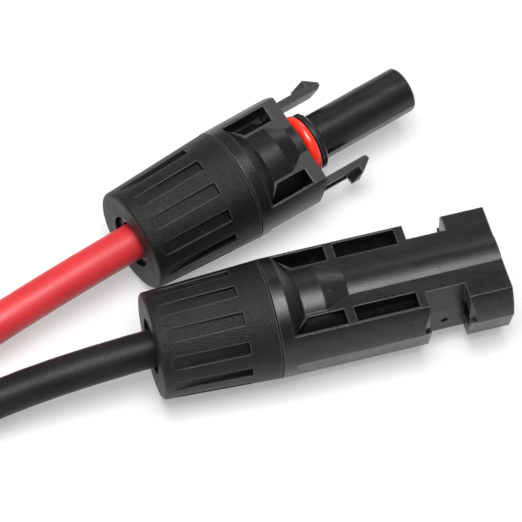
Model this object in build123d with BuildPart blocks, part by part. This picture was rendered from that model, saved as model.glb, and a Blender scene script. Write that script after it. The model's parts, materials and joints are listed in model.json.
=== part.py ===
"""Photovoltaic cable connector, unmated: a socket half on a black lead and a plug half on a red lead.

Each half is drawn in its own frame. The station s runs along its axis from the rear face of its nut,
w goes sideways and n goes up through its windows.
The origin is the centre of the socket half's mouth, +X points out of the mouth and +Z is up.
"""

import os
from math import cos, radians, sin, tan

from build123d import *

# ---- overall sizes (mm) ----
socket_length = 56.0
plug_length = 52.8
body_radius = 9.5
cable_radius = 3.0
insulation_radius = 2.1
conductor_radius = 1.3

# ---- how the halves lie ----
plug_rear = (-54.1, 19.8, 0.0)
plug_yaw = 19.0
plug_roll = 17.0

# ---- cable nut, the same on both halves ----
nut_length = 18.7
nut_rear_radius = 8.5
nut_front_radius = 9.45
nut_hole_radius = 4.5
nut_wall_end = 1.6
nut_rear_round = 0.6
rim_tolerance = 0.001
flute_count = 12
flute_width = 2.05
flute_floor = 8.35
flute_start = 1.6
flute_ramp_end = 5.0
flute_end = 13.9
socket_nut_turn = -3.8
plug_nut_turn = 8.6
thread_radius = 7.5
thread_clearance = 0.2

# ---- housing rear, the same on both halves ----
sleeve_start = 9.2
sleeve_chamfer = 0.4
collar_start = 18.85
collar_end = 20.9
seal_radius = 5.5
seal_start = 9.8
seal_length = 6.6
seal_groove = 0.45
seal_clearance = 0.03
seal_seat = seal_start + seal_length
band_radius = 6.85
band_end = 27.1
core_radius = 5.9
socket_core_start = 31.2
plug_core_start = 29.8

# ---- collet ----
collet_start = 0.7
collet_fingers = 8
finger_slot = 0.55
finger_end = 6.2
collet_tip_radius = 4.3
collet_radius = 5.3
collet_cone_end = 3.2
collet_flange_radius = 7.3
collet_flange_start = 7.7
collet_clearance = 0.2
chamber_clearance = 0.4
collet_gap = 0.15

# ---- wings ----
wing_height = 5.4
wing_end_chamfer = 1.5
wing_chamfer_start = 8.3
parting_step = 0.12
window_inner = 4.72
window_outer = 7.44
window_web = 0.6
window_start = 21.0
window_slant = 2.9

# ---- socket front ----
socket_window_1_end = 29.7
socket_window_2_start = 31.2
socket_window_2_end = 41.2
notch_start = 42.7
notch_end = 49.1
notch_wall = 5.75
notch_draft = 0.6
dimple_radius = 0.55
dimple_depth = 0.4
dimple_height = -2.9
mouth_radius = 4.98
mouth_depth = 5.6
probe_clearance = 0.15
bulkhead_start = 29.0
bulkhead_end = 32.3

# ---- plug front ----
plug_window_end = 29.1
wing_front = 31.4
probe_radius = 3.85
probe_flat = 3.66
probe_round = 0.35
flange_radius = 4.85
flange_start = 33.85
flange_end = 34.9
flange_chamfer = 0.3
ring_section = 0.9
ring_outer_radius = 5.1
ring_seat_radius = ring_outer_radius - 2 * ring_section
ring_gap = 0.05
lip_length = 1.0
lip_step = 0.5
plug_shoulder_start = 30.2

# ---- latch arms ----
arm_thickness = 1.2
arm_top = 1.2
arm_bottom = -2.4
arm_offset = 7.3
arm_reach = 9.4
barb_shoulder = 5.75
barb_peak = 7.3
barb_height = 1.15
barb_foot = 0.2
arm_front_slant = 1.3
arm_nose = 0.35
arm_root_depth = 0.15
arm_clearance = 0.1
arm_rim = 0.75
arm_pocket_margin = 0.4
arm_pocket_depth = 0.35
channel_clearance = 0.3

# ---- contacts ----
pin_radius = 2.0
pin_tip = 9.0
pin_cone = 1.6
shoulder_radius = 2.9
shoulder_clearance = 0.08
contact_chamber_radius = 3.5
barrel_radius = 2.35
barrel_length = 9.0
lance_thickness = 0.35
lance_length = 3.0
lance_gap = 1.2
contact_bore_clearance = 0.05
contact_bore_depth = 16.0
contact_mouth_depth = 4.0
spring_length = 8.0
spring_thickness = 0.25
spring_slots = 10
spring_slot_width = 0.35
spring_rim = 1.0
jacket_end = 17.2
insulation_end = 19.6
conductor_end = 29.0

# ---- leads: points of each route, from inside the seal to the coil ----
arc_share = 0.45
black_route = [
    (-socket_length + jacket_end, 0.0, 0.0),
    (-70.0, 0.0, 0.0),
    (-101.0, -4.0, -6.5),
    (-126.0, -8.0, -6.5),
    (-146.1, -9.6, -6.5),
]
red_route = [
    (-37.837, 25.4, 0.0),
    (-67.337, 15.242, 0.0),
    (-96.9, 5.2, -5.2),
    (-118.6, -1.9, -0.2),
    (-139.4, -8.6, -0.2),
]
coil_centre = (-148.6, 19.6)
coil_outer_radius = 32.5
coil_inner_radius = 19.0
tail_angle = -125.0
tail_inward = 45.0
tail_overlap = 0.5
tail_length = 12.0
bare_insulation_length = 4.0
bare_strand_length = 8.0

os.makedirs("parts", exist_ok=True)

socket_bore_radius = probe_radius + probe_clearance
nut_bore_radius = thread_radius + thread_clearance
nut_chamber_radius = collet_radius + chamber_clearance
collet_end = seal_start - collet_gap
cone_end = collar_end + body_radius - band_radius
wing_start = collar_end
wing_corner = (body_radius**2 - wing_height**2) ** 0.5
channel_outer = arm_offset + arm_thickness / 2 + channel_clearance
channel_inner = arm_offset - arm_thickness / 2 - barb_height + arm_clearance
channel_top = arm_top + channel_clearance
channel_bottom = arm_bottom - channel_clearance
arm_hinge_station = wing_front - arm_root_depth

# A half's frame is the plane across its axis at the rear face of its nut: x is w, y is n, z is s.
socket_frame = Plane(origin=(-socket_length, 0, 0), x_dir=(0, 1, 0), z_dir=(1, 0, 0))
plug_frame = Plane(
    origin=plug_rear,
    x_dir=(
        -sin(radians(plug_yaw)) * cos(radians(plug_roll)),
        cos(radians(plug_yaw)) * cos(radians(plug_roll)),
        sin(radians(plug_roll)),
    ),
    z_dir=(cos(radians(plug_yaw)), sin(radians(plug_yaw)), 0),
)


def lengthwise(frame):
    """The plane through a half's axis whose x is s and whose y is n."""
    return Plane(frame.origin, x_dir=frame.z_dir, z_dir=frame.x_dir * -1)


def seen_from_above(frame, height=0.0):
    """The plane at a height n whose x is s and whose y is w."""
    return Plane(frame.origin + frame.y_dir * height, x_dir=frame.z_dir, z_dir=frame.y_dir)


def axis_of(frame):
    """A half's own axis."""
    return Axis(frame.origin, frame.z_dir)


def turned(frame, points):
    """A turned piece: its half profile, as (station, radius) points, goes around the axis."""
    with BuildPart() as piece:
        with BuildSketch(lengthwise(frame)):
            with BuildLine():
                Polyline(*points, close=True)
            make_face()
        revolve(axis=axis_of(frame))
    return piece


def finish(piece, name):
    """Names a piece and writes its file."""
    piece.part.label = name
    export_step(piece.part, f"parts/{name}.step")


# ---- nut ----
def make_nut(frame, turn):
    """Ribbed cable nut: a slight taper with flutes that ramp in from the rear and stop at a step."""
    with BuildPart() as nut:
        with BuildSketch(lengthwise(frame)):
            with BuildLine():
                Polyline(
                    (0, nut_hole_radius),
                    (0, nut_rear_radius),
                    (nut_length, nut_front_radius),
                    (nut_length, nut_bore_radius),
                    (collet_flange_start - collet_gap, nut_bore_radius),
                    (collet_flange_start - collet_gap, nut_chamber_radius),
                    (collet_cone_end, nut_chamber_radius),
                    (nut_wall_end, nut_hole_radius),
                    close=True,
                )
            make_face()
        revolve(axis=axis_of(frame))
        rims = nut.edges().filter_by(GeomType.CIRCLE)
        fillet(rims.filter_by(lambda rim: abs(rim.radius - nut_rear_radius) < rim_tolerance), nut_rear_round)
        for flute in range(flute_count):
            angle = radians(turn + flute * 360 / flute_count)
            outward = frame.x_dir * cos(angle) + frame.y_dir * sin(angle)
            along = Plane(frame.origin, x_dir=frame.z_dir, z_dir=frame.z_dir.cross(outward))
            with BuildSketch(along) as side_view:
                with BuildLine():
                    Polyline(
                        (flute_start, nut_rear_radius),
                        (flute_ramp_end, flute_floor),
                        (flute_end, flute_floor),
                        (flute_end, nut_front_radius + nut_rear_round),
                        (flute_start, nut_front_radius + nut_rear_round),
                        close=True,
                    )
                make_face()
            extrude(side_view.sketch, amount=flute_width / 2, both=True, mode=Mode.SUBTRACT)
    return nut


# ---- collet ----
def make_collet(frame):
    """Clamping ring with fingers around the cable, pushed onto the seal by the nut."""
    with BuildPart() as collet:
        with BuildSketch(lengthwise(frame)):
            with BuildLine():
                Polyline(
                    (collet_start, cable_radius + collet_clearance),
                    (collet_start, collet_tip_radius),
                    (nut_wall_end, collet_tip_radius),
                    (collet_cone_end + collet_clearance, collet_radius),
                    (collet_flange_start, collet_radius),
                    (collet_flange_start, collet_flange_radius),
                    (sleeve_start - collet_gap, collet_flange_radius),
                    (sleeve_start - collet_gap, seal_radius - collet_clearance),
                    (collet_end, seal_radius - collet_clearance),
                    (collet_end, cable_radius + collet_clearance),
                    close=True,
                )
            make_face()
        revolve(axis=axis_of(frame))
        with BuildSketch(frame.offset(finger_end)):
            with PolarLocations(collet_radius, collet_fingers):
                Rectangle(collet_radius, finger_slot)
        extrude(amount=-finger_end, mode=Mode.SUBTRACT)
    return collet


# ---- cable seal ----
def make_seal(frame):
    """Rubber sleeve with three grooves, squeezed between the collet and the cable chamber."""
    pitch = seal_length / 7
    outer = seal_radius - seal_clearance
    points = [(seal_start, cable_radius)]
    for rib in range(4):
        start = seal_start + 2 * rib * pitch
        points += [(start, outer), (start + pitch, outer)]
        if rib < 3:
            points += [(start + pitch, outer - seal_groove)]
            points += [(start + 2 * pitch, outer - seal_groove)]
    points += [(seal_start + seal_length, cable_radius)]
    return turned(frame, points)


# ---- conductor and its inner insulation ----
def make_conductor(frame):
    """Tinned copper conductor, from inside the jacket's end into the crimp barrel."""
    return turned(frame, [(jacket_end, 0), (jacket_end, conductor_radius),
                          (conductor_end, conductor_radius), (conductor_end, 0)])


def make_insulation(frame):
    """Inner insulation that shows past the jacket's end."""
    return turned(frame, [(jacket_end, conductor_radius), (jacket_end, insulation_radius),
                          (insulation_end, insulation_radius), (insulation_end, conductor_radius)])


def make_lance(frame, shoulder_start):
    """Split spring clip behind a contact's shoulder that holds the contact in the housing."""
    start = shoulder_start - lance_length
    with BuildPart() as lance:
        with BuildSketch(frame.offset(start)):
            Circle(barrel_radius + lance_thickness)
            Circle(barrel_radius, mode=Mode.SUBTRACT)
            with Locations((barrel_radius, 0)):
                Rectangle(2 * barrel_radius, lance_gap, mode=Mode.SUBTRACT)
        extrude(amount=lance_length)
    return lance


# ---- housings ----
def add_wings(frame, end):
    """Makes the wings: an arc down to the crease at mid height, then a flat down to the underside."""
    with BuildSketch(frame.offset(wing_start)) as section:
        with BuildLine():
            Polyline(
                (0, wing_height),
                (0, -wing_height),
                (wing_corner, -wing_height),
                (body_radius - parting_step, 0),
                (body_radius, 0),
            )
            RadiusArc((body_radius, 0), (wing_corner, wing_height), -body_radius)
            Line((wing_corner, wing_height), (0, wing_height))
        make_face()
        mirror(about=Plane.YZ)
    extrude(section.sketch, amount=end - wing_start)


def cut_windows(frame, start, end, slant=0.0):
    """Cuts a window into both wings from above and from below; its rear end may slant inward and forward."""
    for height in (wing_height, -wing_height):
        with BuildSketch(seen_from_above(frame, height)) as window:
            for side in (1, -1):
                with BuildLine():
                    Polyline(
                        (start, side * window_outer),
                        (start + slant, side * window_inner),
                        (end, side * window_inner),
                        (end, side * window_outer),
                        close=True,
                    )
                make_face()
        depth = wing_height - window_web
        extrude(window.sketch, amount=-depth if height > 0 else depth, mode=Mode.SUBTRACT)


def chamfer_wings(frame, station, inward, depth_below=0.0):
    """Slants both wings' outer faces at an end, back towards s times inward, above n = -depth_below."""
    reach = 2 * wing_end_chamfer
    with BuildSketch(seen_from_above(frame, -depth_below)) as wedges:
        for side in (1, -1):
            with BuildLine():
                Polyline(
                    (station, side * wing_chamfer_start),
                    (station + inward * reach, side * (wing_chamfer_start + reach)),
                    (station, side * (wing_chamfer_start + reach)),
                    close=True,
                )
            make_face()
    extrude(wedges.sketch, amount=wing_height + depth_below, mode=Mode.SUBTRACT)


def add_rear(frame):
    """Adds a housing's thread sleeve, collar and cone, without their bores."""
    with BuildSketch(lengthwise(frame)) as profile:
        with BuildLine():
            Polyline(
                (sleeve_start, 0),
                (sleeve_start, thread_radius - sleeve_chamfer),
                (sleeve_start + sleeve_chamfer, thread_radius),
                (collar_start, thread_radius),
                (collar_start, body_radius),
                (collar_end, body_radius),
                (cone_end, band_radius),
                (cone_end, 0),
                close=True,
            )
        make_face()
    revolve(profile.sketch, axis=axis_of(frame))


def add_core(frame, core_start, core_end):
    """Adds a housing's smooth band and core, which stand proud into the windows."""
    with BuildSketch(lengthwise(frame)) as profile:
        with BuildLine():
            Polyline(
                (collar_end, 0),
                (collar_end, band_radius),
                (band_end, band_radius),
                (core_start, core_radius),
                (core_end, core_radius),
                (core_end, 0),
                close=True,
            )
        make_face()
    revolve(profile.sketch, axis=axis_of(frame))


def cut_bores(frame, steps):
    """Cuts bores in steps of (station where each one ends, radius), from the sleeve forward."""
    points = [(sleeve_start, 0)]
    start = sleeve_start
    for end, radius in steps:
        points += [(start, radius), (end, radius)]
        start = end
    points += [(start, 0)]
    with BuildSketch(lengthwise(frame)) as profile:
        with BuildLine():
            Polyline(*points, close=True)
        make_face()
    revolve(profile.sketch, axis=axis_of(frame), mode=Mode.SUBTRACT)


with BuildPart() as socket_housing:
    add_wings(socket_frame, socket_length)
    add_rear(socket_frame)
    cut_windows(socket_frame, window_start, socket_window_1_end, window_slant)
    cut_windows(socket_frame, socket_window_2_start, socket_window_2_end)
    add_core(socket_frame, socket_core_start, socket_length)
    cut_bores(
        socket_frame,
        [
            (seal_seat, seal_radius),
            (bulkhead_start, contact_chamber_radius),
            (bulkhead_end, shoulder_radius + shoulder_clearance),
            (socket_length - mouth_depth, socket_bore_radius),
            (socket_length, mouth_radius),
        ],
    )
    chamfer_wings(socket_frame, notch_start, -1)
    chamfer_wings(socket_frame, notch_end, 1)
    for side in (1, -1):
        # Notch behind the front band: its wall leans in above the mid height.
        with BuildSketch(socket_frame.offset(notch_start)):
            with BuildLine():
                Polyline(
                    (side * (notch_wall - notch_draft), 2 * wing_height),
                    (side * (notch_wall - notch_draft), wing_height),
                    (side * notch_wall, 0),
                    (side * notch_wall, -2 * wing_height),
                    (side * 2 * body_radius, -2 * wing_height),
                    (side * 2 * body_radius, 2 * wing_height),
                    close=True,
                )
            make_face()
        extrude(amount=notch_end - notch_start, mode=Mode.SUBTRACT)
        notch_floor = Plane(
            socket_frame.origin + socket_frame.x_dir * side * notch_wall,
            x_dir=socket_frame.z_dir,
            z_dir=socket_frame.x_dir * side,
        )
        up = notch_floor.y_dir.dot(socket_frame.y_dir)
        with BuildSketch(notch_floor):
            with Locations(((notch_start + notch_end) / 2, up * dimple_height)):
                Circle(dimple_radius)
        extrude(amount=-dimple_depth, mode=Mode.SUBTRACT)
        # Channel through the front band, where a latch arm and its barb pass.
        with BuildSketch(socket_frame.offset(notch_end)):
            with Locations((side * (channel_inner + channel_outer) / 2, (channel_top + channel_bottom) / 2)):
                Rectangle(channel_outer - channel_inner, channel_top - channel_bottom)
        extrude(amount=socket_length - notch_end, mode=Mode.SUBTRACT)
finish(socket_housing, "socket_housing")


with BuildPart() as plug_housing:
    add_wings(plug_frame, wing_front)
    add_rear(plug_frame)
    cut_windows(plug_frame, window_start, plug_window_end, window_slant)
    add_core(plug_frame, plug_core_start, wing_front)
    chamfer_wings(plug_frame, wing_front, -1, wing_height)
    with BuildSketch(lengthwise(plug_frame)):
        with BuildLine():
            Polyline(
                (wing_front, 0),
                (wing_front, ring_seat_radius),
                (flange_start, ring_seat_radius),
                (flange_start, flange_radius),
                (flange_end - flange_chamfer, flange_radius),
                (flange_end, flange_radius - flange_chamfer),
                (flange_end, probe_radius),
                (plug_length - probe_round, probe_radius),
                (plug_length, probe_radius - probe_round),
                (plug_length, 0),
                close=True,
            )
        make_face()
    revolve(axis=axis_of(plug_frame))
    for side in (1, -1):
        # Flat along each side of the probe.
        with BuildSketch(plug_frame.offset(flange_end)):
            with Locations((side * (probe_flat + probe_radius / 2), 0)):
                Rectangle(probe_radius, 2 * probe_radius)
        extrude(amount=plug_length - flange_end, mode=Mode.SUBTRACT)
        # Seat of a latch arm's root in the wings' front face.
        with BuildSketch(seen_from_above(plug_frame, arm_bottom - arm_clearance)):
            with Locations((arm_hinge_station, side * arm_offset)):
                Circle(arm_thickness / 2 + arm_clearance)
        extrude(amount=arm_top - arm_bottom + 2 * arm_clearance, mode=Mode.SUBTRACT)
    cut_bores(
        plug_frame,
        [
            (seal_seat, seal_radius),
            (plug_shoulder_start, contact_chamber_radius),
            (plug_length - lip_length, shoulder_radius + shoulder_clearance),
            (plug_length, shoulder_radius - lip_step),
        ],
    )
finish(plug_housing, "plug_housing")


# ---- latch arms ----
def make_arm(frame, side):
    """Latch arm: a round root, a straight blade and an outward barb whose top slopes up to the front."""
    root = arm_thickness / 2
    shoulder = wing_front + barb_shoulder
    peak = wing_front + barb_peak
    tip = wing_front + arm_reach
    inner = side * (arm_offset - root)
    outer = side * (arm_offset + root)
    barb = side * (arm_offset + root + barb_height)
    with BuildPart() as arm:
        with BuildSketch(seen_from_above(frame, arm_bottom)) as blade:
            with Locations((arm_hinge_station, side * arm_offset)):
                Circle(root)
            with BuildLine():
                Polyline(
                    (arm_hinge_station, inner),
                    (tip - arm_nose, inner),
                    (tip, inner + side * arm_nose),
                    (tip, outer - side * arm_nose),
                    (peak, barb),
                    (shoulder, barb),
                    (shoulder, outer),
                    (arm_hinge_station, outer),
                    close=True,
                )
            make_face()
        extrude(blade.sketch, amount=arm_top - arm_bottom)
        # The barb's top is cut away at its rear, so that only its foot is square.
        with BuildSketch(lengthwise(frame)) as slope:
            with BuildLine():
                Polyline(
                    (shoulder - barb_foot, arm_bottom + barb_foot),
                    (shoulder + barb_foot, arm_bottom + barb_foot),
                    (peak, arm_top + barb_foot),
                    (shoulder - barb_foot, arm_top + barb_foot),
                    close=True,
                )
            make_face()
        beside = frame.x_dir * side * (arm_offset + root)
        extrude(slope.sketch.moved(Location(beside)), amount=-side * 2 * barb_height, mode=Mode.SUBTRACT)
        # A shallow pocket in the outer face leaves a rim above and below it.
        with BuildSketch(lengthwise(frame)) as pocket:
            with BuildLine():
                Polyline(
                    (wing_front + arm_pocket_margin, arm_bottom + arm_rim),
                    (shoulder - arm_pocket_margin, arm_bottom + arm_rim),
                    (shoulder - arm_pocket_margin, arm_top - arm_rim),
                    (wing_front + arm_pocket_margin, arm_top - arm_rim),
                    close=True,
                )
            make_face()
        extrude(pocket.sketch.moved(Location(beside)), amount=side * arm_pocket_depth, mode=Mode.SUBTRACT)
        # The front end leans back towards the bottom.
        with BuildSketch(lengthwise(frame)) as front:
            with BuildLine():
                Polyline((tip, arm_top), (tip - arm_front_slant, arm_bottom), (tip, arm_bottom), close=True)
            make_face()
        extrude(front.sketch, amount=2 * body_radius, both=True, mode=Mode.SUBTRACT)
    return arm


for side, name in ((1, "latch_arm_far"), (-1, "latch_arm_near")):
    finish(make_arm(plug_frame, side), name)

# ---- o-ring ----
with BuildPart() as o_ring:
    with BuildSketch(lengthwise(plug_frame)):
        with Locations((flange_start - ring_section - ring_gap, ring_outer_radius - ring_section)):
            Circle(ring_section)
    revolve(axis=axis_of(plug_frame))
finish(o_ring, "o_ring")

# ---- contacts ----
socket_barrel_start = bulkhead_start - barrel_length
socket_pin_contact = turned(
    socket_frame,
    [
        (socket_barrel_start, conductor_radius),
        (socket_barrel_start, barrel_radius),
        (bulkhead_start, barrel_radius),
        (bulkhead_start, shoulder_radius),
        (bulkhead_end, shoulder_radius),
        (bulkhead_end, pin_radius),
        (socket_length - pin_tip - pin_cone, pin_radius),
        (socket_length - pin_tip, pin_radius / 2),
        (socket_length - pin_tip, 0),
        (conductor_end, 0),
        (conductor_end, conductor_radius),
    ],
)
finish(socket_pin_contact, "socket_pin_contact")

plug_barrel_start = plug_shoulder_start - barrel_length
contact_front = plug_length - lip_length
contact_bore_radius = pin_radius + contact_bore_clearance
plug_socket_contact = turned(
    plug_frame,
    [
        (plug_barrel_start, conductor_radius),
        (plug_barrel_start, barrel_radius),
        (plug_shoulder_start, barrel_radius),
        (plug_shoulder_start, shoulder_radius),
        (contact_front, shoulder_radius),
        (contact_front, contact_bore_radius),
        (contact_front - contact_mouth_depth, contact_bore_radius),
        (contact_front - contact_mouth_depth, contact_bore_radius + spring_thickness),
        (contact_front - contact_mouth_depth - spring_length, contact_bore_radius + spring_thickness),
        (contact_front - contact_mouth_depth - spring_length, contact_bore_radius),
        (contact_front - contact_bore_depth, contact_bore_radius),
        (contact_front - contact_bore_depth, 0),
        (conductor_end, 0),
        (conductor_end, conductor_radius),
    ],
)
finish(plug_socket_contact, "plug_socket_contact")

with BuildPart() as plug_contact_spring:
    spring_end = contact_front - contact_mouth_depth
    with BuildSketch(plug_frame.offset(spring_end - spring_length)):
        Circle(contact_bore_radius + spring_thickness)
        Circle(contact_bore_radius, mode=Mode.SUBTRACT)
    extrude(amount=spring_length)
    with BuildSketch(plug_frame.offset(spring_end - spring_length + spring_rim)):
        with PolarLocations(contact_bore_radius, spring_slots):
            Rectangle(4 * spring_thickness, spring_slot_width)
    extrude(amount=spring_length - 2 * spring_rim, mode=Mode.SUBTRACT)
finish(plug_contact_spring, "plug_contact_spring")

# ---- what both halves share ----
for half, frame, shoulder_start, nut_turn in (
    ("socket", socket_frame, bulkhead_start, socket_nut_turn),
    ("plug", plug_frame, plug_shoulder_start, plug_nut_turn),
):
    finish(make_nut(frame, nut_turn), f"{half}_nut")
    finish(make_collet(frame), f"{half}_collet")
    finish(make_seal(frame), f"{half}_seal")
    finish(make_conductor(frame), f"{half}_conductor")
    finish(make_insulation(frame), f"{half}_inner_insulation")
    finish(make_lance(frame, shoulder_start), f"{half}_contact_lance")


# ---- leads ----
def make_lead(route):
    """Jacket along a route of points: straight runs joined by the largest tangent arcs that fit."""
    points = [Vector(*point) for point in route]
    radii = []
    for before, corner, after in zip(points, points[1:], points[2:]):
        turn = radians((corner - before).get_angle(after - corner))
        shorter = min((corner - before).length, (after - corner).length)
        radii += [arc_share * shorter / tan(turn / 2)]
    with BuildPart() as lead:
        with BuildLine() as path:
            FilletPolyline(*points, radius=radii)
        with BuildSketch(Plane(points[0], z_dir=points[1] - points[0])) as section:
            Circle(cable_radius)
        sweep(section.sketch, path=path.line)
    return lead


def make_coil(height):
    """Outer shape of one lead's flat coil."""
    with BuildPart() as coil:
        with BuildSketch(Plane.XY.offset(height - cable_radius)) as ring:
            with Locations(coil_centre):
                Circle(coil_outer_radius)
                Circle(coil_inner_radius, mode=Mode.SUBTRACT)
        extrude(ring.sketch, amount=2 * cable_radius)
    return coil


def make_tail(height, start, length, radius, hollow=0.0):
    """Straight stretch of a lead's far end, inside the coil."""
    turn = radians(tail_angle)
    centre = Vector(*coil_centre, height)
    root = centre + Vector(cos(turn), sin(turn), 0) * (coil_inner_radius + tail_overlap)
    onward = radians(tail_angle - 90 - tail_inward)
    direction = Vector(cos(onward), sin(onward), 0)
    with BuildPart() as tail:
        with BuildSketch(Plane(root + direction * start, z_dir=direction)) as section:
            Circle(radius)
            if hollow:
                Circle(hollow, mode=Mode.SUBTRACT)
        extrude(section.sketch, amount=length)
    return tail


for colour, route in (("black", black_route), ("red", red_route)):
    coil_height = route[-1][2]
    bare_start = tail_length
    finish(make_lead(route), f"{colour}_lead")
    finish(make_coil(coil_height), f"{colour}_lead_coil")
    finish(make_tail(coil_height, 0, tail_length, cable_radius), f"{colour}_lead_tail")
    finish(
        make_tail(coil_height, bare_start, bare_insulation_length, insulation_radius, conductor_radius),
        f"{colour}_bare_insulation",
    )
    finish(
        make_tail(coil_height, bare_start, bare_insulation_length + bare_strand_length, conductor_radius),
        f"{colour}_bare_strands",
    )
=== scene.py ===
"""Studio view of the solar cable connector pair: materials, cables, light and camera around the CAD frame."""

import json
from math import cos, pi, radians, sin

import bpy
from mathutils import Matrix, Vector


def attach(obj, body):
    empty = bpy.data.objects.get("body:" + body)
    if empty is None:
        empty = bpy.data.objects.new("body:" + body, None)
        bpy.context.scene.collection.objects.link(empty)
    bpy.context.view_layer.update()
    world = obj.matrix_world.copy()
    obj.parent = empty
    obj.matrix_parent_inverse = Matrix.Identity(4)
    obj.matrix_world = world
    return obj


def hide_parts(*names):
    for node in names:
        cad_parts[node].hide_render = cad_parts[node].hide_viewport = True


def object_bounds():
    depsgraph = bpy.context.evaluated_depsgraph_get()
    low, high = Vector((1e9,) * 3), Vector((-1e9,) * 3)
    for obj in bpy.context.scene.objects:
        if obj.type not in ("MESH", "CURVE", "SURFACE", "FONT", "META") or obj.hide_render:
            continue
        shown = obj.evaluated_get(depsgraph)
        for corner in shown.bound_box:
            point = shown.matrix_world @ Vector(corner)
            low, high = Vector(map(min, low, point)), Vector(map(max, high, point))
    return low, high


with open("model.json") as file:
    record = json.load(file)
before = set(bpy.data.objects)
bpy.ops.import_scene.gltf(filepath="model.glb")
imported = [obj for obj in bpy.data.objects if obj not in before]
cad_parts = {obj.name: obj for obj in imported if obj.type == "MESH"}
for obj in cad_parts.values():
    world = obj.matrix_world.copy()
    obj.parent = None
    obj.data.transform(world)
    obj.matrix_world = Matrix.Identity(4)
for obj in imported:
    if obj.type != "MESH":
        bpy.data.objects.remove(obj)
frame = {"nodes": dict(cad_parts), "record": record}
nodes = frame["nodes"]
cad_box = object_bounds()
MM = 0.001

# ---------------------------------------------------------------- cable sizes (metres, degrees)
cable_diameter = 6.0 * MM

coil_centre = Vector((-148.6, 19.6, 0)) * MM
coil_start_radius = 29.3 * MM
turn_pitch = 6.3 * MM
points_per_turn = 24
points_left_out_before_tail = 2
tail_angle = -125.0
tail_inward = 45.0
tail_root_radius = 19.5 * MM
tail_length = 12.0 * MM

bare_insulation_length = 4.0 * MM
bare_strand_length = 8.0 * MM
strand_overlap = 1.0 * MM
strand_radius = 0.155 * MM
strand_spacing = 2.02
strand_lay = 18.0 * MM
strand_waver = 0.03
strand_wavers_per_lay = 5
strand_end_stagger = 0.12 * MM
strands_per_ring = (1, 6, 12, 18)
points_per_strand = 9

# ---------------------------------------------------------------- clamping rings' toothed rims (metres)
grip_teeth = 22
grip_outer = 4.35 * MM
grip_root = 3.75 * MM
grip_tip = 3.3 * MM
grip_rear = 0.9 * MM
grip_inner_rear = 1.15 * MM
grip_front = 1.5 * MM

# ---------------------------------------------------------------- routes (millimetres, as in the CAD)
black_route = [
    (-38.8, 0.0, 0.0),
    (-70.0, 0.0, 0.0),
    (-101.0, -4.0, -6.5),
    (-126.0, -8.0, -6.5),
    (-146.1, -9.6, -6.5),
]
red_route = [
    (-37.837, 25.4, 0.0),
    (-67.337, 15.242, 0.0),
    (-96.9, 5.2, -5.2),
    (-118.6, -1.9, -0.2),
    (-139.4, -8.6, -0.2),
]

# ---------------------------------------------------------------- finishes (metres, colours as linear light)
# Painted highlight: outer edges are lightened in the base colour to stand in for light caught along them
painted_highlight_edge_reach = 0.3 * MM
painted_edge_highlight_colour = (0.06, 0.06, 0.062, 1)
corner_shade_reach = 0.5 * MM
corner_shade_colour = (0.002, 0.002, 0.002, 1)
dust_colour = (0.3, 0.3, 0.29, 1)
metal_edge = 0.08 * MM
bevel_samples = 6
corner_samples = 6

# ---------------------------------------------------------------- studio (metres, degrees, watts)
floor_size = 6
floor_roughness = 0.6
floor_glow = 0.34
world_strength = 0.25
white = (1, 1, 1, 1)

target = Vector((-35.29, 10.79, 0)) * MM
camera_azimuth = -15.59
camera_elevation = 56.19
camera_distance = 0.6194
sensor_width_mm = 36.0
focal_length_mm = 271.6


# ---------------------------------------------------------------- helpers
def place(name, data):
    """New object in the scene."""
    thing = bpy.data.objects.new(name, data)
    bpy.context.scene.collection.objects.link(thing)
    return thing


def toward(azimuth, elevation):
    """Unit vector from the object to a place at that azimuth and elevation."""
    turn, rise = radians(azimuth), radians(elevation)
    return Vector((sin(turn) * cos(rise), -cos(turn) * cos(rise), sin(rise)))


def face_target(thing, azimuth, elevation, distance):
    """Stands a light or camera at that place, looking at the target."""
    thing.location = target + toward(azimuth, elevation) * distance
    thing.rotation_euler = (pi / 2 - radians(elevation), 0, radians(azimuth))


def tube(name, radius, bevel_resolution, material):
    """Empty round curve with closed ends."""
    curve = bpy.data.curves.new(name, "CURVE")
    curve.dimensions = "3D"
    curve.bevel_depth = radius
    curve.bevel_resolution = bevel_resolution
    curve.use_fill_caps = True
    curve.materials.append(material)
    return curve


def add_spline(curve, points):
    """Smooth spline with those control points."""
    spline = curve.splines.new("NURBS")
    spline.points.add(len(points) - 1)
    for control, point in zip(spline.points, points):
        control.co = (*point, 1)
    spline.order_u = 3
    spline.use_endpoint_u = True


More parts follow.
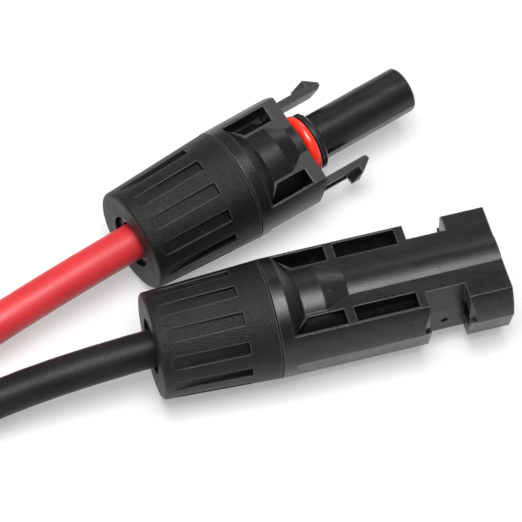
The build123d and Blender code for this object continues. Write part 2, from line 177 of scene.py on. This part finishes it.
# ---------------------------------------------------------------- materials
class Shader:
    """A node material being built: most calls add a node and return its output socket."""

    def __init__(self, name):
        self.material = bpy.data.materials.new(name)
        self.material.use_nodes = True
        self.nodes = self.material.node_tree.nodes
        self.links = self.material.node_tree.links
        self.surface = self.nodes["Principled BSDF"]
        self.position = self.add("ShaderNodeTexCoord").outputs["Object"]

    def feed(self, socket, value):
        """Links a socket to another one, or sets its value."""
        if isinstance(value, bpy.types.NodeSocket):
            self.links.new(value, socket)
        else:
            socket.default_value = value

    def add(self, kind, **inputs):
        """Adds a node and feeds its inputs, named with underscores for spaces."""
        node = self.nodes.new(kind)
        for name, value in inputs.items():
            self.feed(node.inputs[name.replace("_", " ")], value)
        return node

    def noise(self, scale, detail=2.0, roughness=0.5, stretch=None):
        """Noise of that many cells a metre, stretched along an axis if wanted."""
        where = self.position
        if stretch:
            where = self.add("ShaderNodeMapping", Vector=where, Scale=stretch).outputs["Vector"]
        texture = self.add("ShaderNodeTexNoise", Vector=where, Scale=scale, Detail=detail, Roughness=roughness)
        return texture.outputs["Fac"]

    def between(self, factor, low, high, start=0.0, end=1.0):
        """A number that goes from low to high as factor goes from start to end."""
        limits = {"From_Min": start, "From_Max": end, "To_Min": low, "To_Max": high}
        return self.add("ShaderNodeMapRange", Value=factor, **limits).outputs["Result"]

    def mix(self, factor, first, second):
        """A colour between two colours."""
        node = self.nodes.new("ShaderNodeMix")
        node.data_type = "RGBA"
        shares = [socket for socket in node.inputs if socket.enabled]
        for socket, value in zip(shares, (factor, first, second)):
            self.feed(socket, value)
        return next(socket for socket in node.outputs if socket.enabled)

    def rounded(self, radius):
        """Normal of edges that are rounded off by that radius."""
        node = self.add("ShaderNodeBevel", Radius=radius)
        node.samples = bevel_samples
        return node.outputs["Normal"]

    def closeness(self, distance, inside):
        """How near a point is to an inner corner, or from inside to an outer edge, from 0 to 1."""
        node = self.add("ShaderNodeAmbientOcclusion", Distance=distance)
        node.inside = inside
        node.samples = corner_samples
        return self.between(node.outputs["AO"], 1, 0, start=0.45, end=0.9)

    def bump(self, height, strength, distance, normal=None):
        """Normal of a surface with that relief."""
        node = self.add("ShaderNodeBump", Height=height, Strength=strength, Distance=distance)
        if normal:
            self.links.new(normal, node.inputs["Normal"])
        return node.outputs["Normal"]

    def finish(self, **inputs):
        """Feeds the surface's inputs and returns the material."""
        for name, value in inputs.items():
            self.feed(self.surface.inputs[name.replace("_", " ")], value)
        return self.material


def moulded(name, dark, pale, roughness, grain, grain_depth, edge, shine):
    """Moulded black plastic: spark-eroded grain, painted highlight on outer edges, shaded corners and faint
    handling marks.
    """
    shader = Shader(name)
    cloud = shader.noise(scale=180, detail=4, roughness=0.6)
    smear = shader.noise(scale=420, detail=3, roughness=0.7, stretch=(0.25, 1, 1))
    fine = shader.noise(scale=grain, detail=2, roughness=0.55)
    specks = shader.noise(scale=1100, detail=3, roughness=0.7)
    colour = shader.mix(shader.between(cloud, 0, 1, start=0.35, end=0.7), dark, pale)
    colour = shader.mix(shader.between(specks, 0, 0.2, start=0.69, end=0.73), colour, dust_colour)
    # Painted highlight: the colour is lightened near outer edges, as if they caught the light
    colour = shader.mix(shader.closeness(painted_highlight_edge_reach, inside=True), colour, painted_edge_highlight_colour)
    colour = shader.mix(shader.closeness(corner_shade_reach, inside=False), colour, corner_shade_colour)
    rough = shader.between(smear, roughness - 0.06, roughness + 0.08, start=0.3, end=0.7)
    normal = shader.bump(fine, strength=0.5, distance=grain_depth, normal=shader.rounded(edge))
    return shader.finish(Base_Color=colour, Roughness=rough, Normal=normal, Specular_IOR_Level=shine)


def jacket(name, dark, pale, roughness, sheen, shine):
    """Extruded cable jacket: satin skin with fine marks and a slight waviness."""
    shader = Shader(name)
    cloud = shader.noise(scale=140, detail=3, roughness=0.5)
    fine = shader.noise(scale=2600, detail=3, roughness=0.6)
    swell = shader.noise(scale=160, detail=1, roughness=0.4)
    colour = shader.mix(shader.between(cloud, 0, 1, start=0.3, end=0.7), dark, pale)
    rough = shader.between(fine, roughness - 0.05, roughness + 0.07, start=0.35, end=0.65)
    waves = shader.bump(swell, strength=0.25, distance=0.3 * MM)
    relief = shader.bump(fine, strength=0.25, distance=0.06 * MM, normal=waves)
    return shader.finish(
        Base_Color=colour, Roughness=rough, Normal=relief,
        Sheen_Weight=sheen, Sheen_Roughness=0.4, Specular_IOR_Level=shine,
    )


def metal(name, colour, tint, roughness, scale):
    """Plated metal with fine lay marks and slightly dulled patches."""
    shader = Shader(name)
    lay = shader.noise(scale=scale, detail=2, roughness=0.6, stretch=(0.1, 1, 1))
    patch = shader.noise(scale=500, detail=3, roughness=0.5)
    mixed = shader.mix(shader.between(patch, 0, 1, start=0.4, end=0.75), colour, tint)
    rough = shader.between(lay, roughness - 0.06, roughness + 0.1, start=0.3, end=0.7)
    normal = shader.bump(lay, strength=0.3, distance=0.03 * MM, normal=shader.rounded(metal_edge))
    return shader.finish(Base_Color=mixed, Roughness=rough, Metallic=1.0, Normal=normal)


def rubber(name, dark, pale, roughness, coat):
    """Moulded silicone rubber with a faint oily unevenness."""
    shader = Shader(name)
    cloud = shader.noise(scale=900, detail=3, roughness=0.6)
    fine = shader.noise(scale=5000, detail=2, roughness=0.5)
    colour = shader.mix(shader.between(cloud, 0, 1, start=0.3, end=0.7), dark, pale)
    rough = shader.between(cloud, roughness - 0.05, roughness + 0.06, start=0.3, end=0.7)
    normal = shader.bump(fine, strength=0.2, distance=0.03 * MM)
    return shader.finish(Base_Color=colour, Roughness=rough, Normal=normal, Coat_Weight=coat, Coat_Roughness=0.12)


finishes = {
    "housing_plastic": (moulded, dict(
        dark=(0.0042, 0.0042, 0.0048, 1), pale=(0.0064, 0.0064, 0.0072, 1),
        roughness=0.3, grain=5200, grain_depth=0.05 * MM, edge=0.25 * MM, shine=0.42,
    )),
    "nut_plastic": (moulded, dict(
        dark=(0.0042, 0.0042, 0.0048, 1), pale=(0.0072, 0.0072, 0.008, 1),
        roughness=0.42, grain=4200, grain_depth=0.36 * MM, edge=0.25 * MM, shine=0.22,
    )),
    "collet_plastic": (moulded, dict(
        dark=(0.01, 0.01, 0.011, 1), pale=(0.015, 0.015, 0.016, 1),
        roughness=0.22, grain=4200, grain_depth=0.06 * MM, edge=0.1 * MM, shine=0.8,
    )),
    "seal_rubber": (rubber, dict(
        dark=(0.02, 0.02, 0.021, 1), pale=(0.03, 0.03, 0.032, 1), roughness=0.6, coat=0.0,
    )),
    "o_ring_rubber": (rubber, dict(
        dark=(0.78, 0.022, 0.01, 1), pale=(0.88, 0.034, 0.014, 1), roughness=0.28, coat=0.4,
    )),
    "tinned_contact": (metal, dict(
        colour=(0.74, 0.74, 0.72, 1), tint=(0.62, 0.62, 0.6, 1), roughness=0.24, scale=3000,
    )),
    "spring_metal": (metal, dict(
        colour=(0.62, 0.6, 0.56, 1), tint=(0.5, 0.49, 0.46, 1), roughness=0.3, scale=3600,
    )),
    "tinned_strands": (metal, dict(
        colour=(0.7, 0.69, 0.66, 1), tint=(0.58, 0.55, 0.5, 1), roughness=0.32, scale=5000,
    )),
    "inner_insulation": (rubber, dict(
        dark=(0.7, 0.69, 0.66, 1), pale=(0.78, 0.77, 0.74, 1), roughness=0.45, coat=0.0,
    )),
    "black_jacket": (jacket, dict(
        dark=(0.007, 0.007, 0.008, 1), pale=(0.012, 0.012, 0.013, 1), roughness=0.44, sheen=0.01, shine=0.15,
    )),
    "red_jacket": (jacket, dict(
        dark=(0.45, 0.021, 0.027, 1), pale=(0.52, 0.028, 0.034, 1), roughness=0.42, sheen=0.05, shine=0.35,
    )),
}
materials = {slot: maker(slot, **values) for slot, (maker, values) in finishes.items()}

for subpart in frame["record"]["subparts"]:
    node = nodes[subpart["node"]]
    node.data.materials.clear()
    node.data.materials.append(materials[subpart["material_slot"]])


# ---------------------------------------------------------------- bare ends
def tail(height):
    """First and last point of the straight far end, inside the coil."""
    turn = radians(tail_angle)
    onward = radians(tail_angle - 90 - tail_inward)
    root = coil_centre + Vector((cos(turn), sin(turn), 0)) * tail_root_radius
    root.z = height
    return [root, root + Vector((cos(onward), sin(onward), 0)) * tail_length]


def stranded_end(name, height, body, node):
    """Twisted tinned strands where the jacket and its inner insulation are stripped away."""
    root, end = tail(height)
    along = (end - root).normalized()
    across = Vector((0, 0, 1))
    beside = along.cross(across)
    start = end + along * (bare_insulation_length - strand_overlap)
    length = bare_strand_length + strand_overlap
    curve = tube(name, strand_radius, 2, materials["tinned_strands"])
    for ring, count in enumerate(strands_per_ring):
        for strand in range(count):
            points = []
            for step in range(points_per_strand):
                share = step / (points_per_strand - 1)
                turn = 2 * pi * (strand / count + share * length / strand_lay)
                waver = 1 + strand_waver * sin(strand_wavers_per_lay * turn + strand)
                outward = (across * cos(turn) + beside * sin(turn)) * ring * strand_radius * strand_spacing * waver
                reach = length * share - (strand % 3) * strand_end_stagger * share
                points.append(start + along * reach + outward)
            add_spline(curve, points)
    bundle = place(name, curve)
    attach(bundle, body)
    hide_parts(node)
    return bundle


black_strands = stranded_end("black_strand_bundle", black_route[-1][2] * MM, "socket_half", "black_bare_strands")
red_strands = stranded_end("red_strand_bundle", red_route[-1][2] * MM, "plug_half", "red_bare_strands")


# ---------------------------------------------------------------- cables
def spiral(start, height):
    """Points of the put-away coil: clockwise from above, each turn a pitch inside the last."""
    step = 2 * pi / points_per_turn
    spread = 2 / (1 + cos(step))
    first = (start - coil_centre).xy.angle_signed(Vector((1, 0)))
    count = round((first + 2 * pi - radians(tail_angle)) / step) - points_left_out_before_tail
    points = []
    for i in range(1, count):
        angle = first - i * step
        radius = (coil_start_radius - turn_pitch * i / points_per_turn) * spread
        point = coil_centre + Vector((cos(angle), sin(angle), 0)) * radius
        point.z = height
        points.append(point)
    return points


def lay_cable(name, route, body, colour):
    """Lead from its seal along its route, around its coil and to its bare end."""
    points = [Vector(point) * MM for point in route]
    points += spiral(points[-1], points[-1].z) + tail(points[-1].z)
    curve = tube(name, cable_diameter / 2, 8, materials[f"{colour}_jacket"])
    curve.resolution_u = 8
    add_spline(curve, points)
    cable = place(name, curve)
    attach(cable, body)
    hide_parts(f"{colour}_lead", f"{colour}_lead_coil", f"{colour}_lead_tail")


lay_cable("black_cable", black_route, "socket_half", "black")
lay_cable("red_cable", red_route, "plug_half", "red")


# ---------------------------------------------------------------- grip rings
def grip_ring(name, nut_joint, body):
    """Toothed rear rim of a clamping ring, seen around the cable inside the nut's hole."""
    joint = next(joint for joint in frame["record"]["behaviour"]["joints"] if joint["name"] == nut_joint)
    origin = Vector(joint["pos_m"])
    along = -Vector(joint["axis"]).normalized()
    across = along.cross(Vector((0, 0, 1))).normalized()
    up = across.cross(along)
    rows = (
        (grip_outer, grip_outer, grip_rear),
        (grip_root, grip_tip, grip_inner_rear),
        (grip_root, grip_tip, grip_front),
        (grip_outer, grip_outer, grip_front),
    )
    count = 2 * grip_teeth
    vertices = []
    for even_radius, odd_radius, station in rows:
        for i in range(count):
            angle = 2 * pi * i / count
            radius = odd_radius if i % 2 else even_radius
            vertices.append(origin + along * station + (across * cos(angle) + up * sin(angle)) * radius)
    faces = []
    for row in range(len(rows)):
        onward = (row + 1) % len(rows)
        for i in range(count):
            j = (i + 1) % count
            faces.append((row * count + i, row * count + j, onward * count + j, onward * count + i))
    mesh = bpy.data.meshes.new(name)
    mesh.from_pydata(vertices, [], faces)
    mesh.materials.append(materials["collet_plastic"])
    ring = place(name, mesh)
    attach(ring, body)


grip_ring("socket_grip_ring", "socket_nut_turn", "socket_clamp")
grip_ring("plug_grip_ring", "plug_nut_turn", "plug_clamp")

# ---------------------------------------------------------------- floor, light and camera
floor_shader = Shader("floor")
tone = floor_shader.between(floor_shader.noise(scale=6, detail=3, roughness=0.5), 0.42, 0.45)
floor_colour = floor_shader.add("ShaderNodeCombineColor", Red=tone, Green=tone, Blue=tone)
floor_material = floor_shader.finish(
    Base_Color=floor_colour.outputs["Color"], Roughness=floor_roughness,
    Emission_Color=white, Emission_Strength=floor_glow,
)
bpy.ops.mesh.primitive_plane_add(size=floor_size, location=(0, 0, cad_box[0].z))
floor = bpy.context.object
floor.name = "floor"
floor.data.materials.append(floor_material)


def soft_light(name, azimuth, elevation, distance, size, power):
    """Square area light that faces the connectors."""
    data = bpy.data.lights.new(name, "AREA")
    data.size = size
    data.energy = power
    face_target(place(name, data), azimuth, elevation, distance)


soft_light("overhead", azimuth=-15, elevation=78, distance=0.75, size=0.42, power=8.2)
soft_light("top", azimuth=165, elevation=84, distance=0.75, size=0.3, power=0.7)
soft_light("left", azimuth=-100, elevation=30, distance=1.0, size=0.3, power=2.2)
soft_light("back", azimuth=150, elevation=30, distance=1.0, size=0.4, power=1.3)

world = bpy.data.worlds.new("studio")
bpy.context.scene.world = world
world.use_nodes = True
background = world.node_tree.nodes["Background"]
background.inputs["Color"].default_value = white
background.inputs["Strength"].default_value = world_strength

lens = bpy.data.cameras.new("camera")
lens.sensor_width = sensor_width_mm
lens.lens = focal_length_mm
lens.clip_start = 0.01
camera = place("camera", lens)
face_target(camera, camera_azimuth, camera_elevation, camera_distance)
bpy.context.scene.camera = camera
bpy.context.scene.view_settings.view_transform = "Standard"
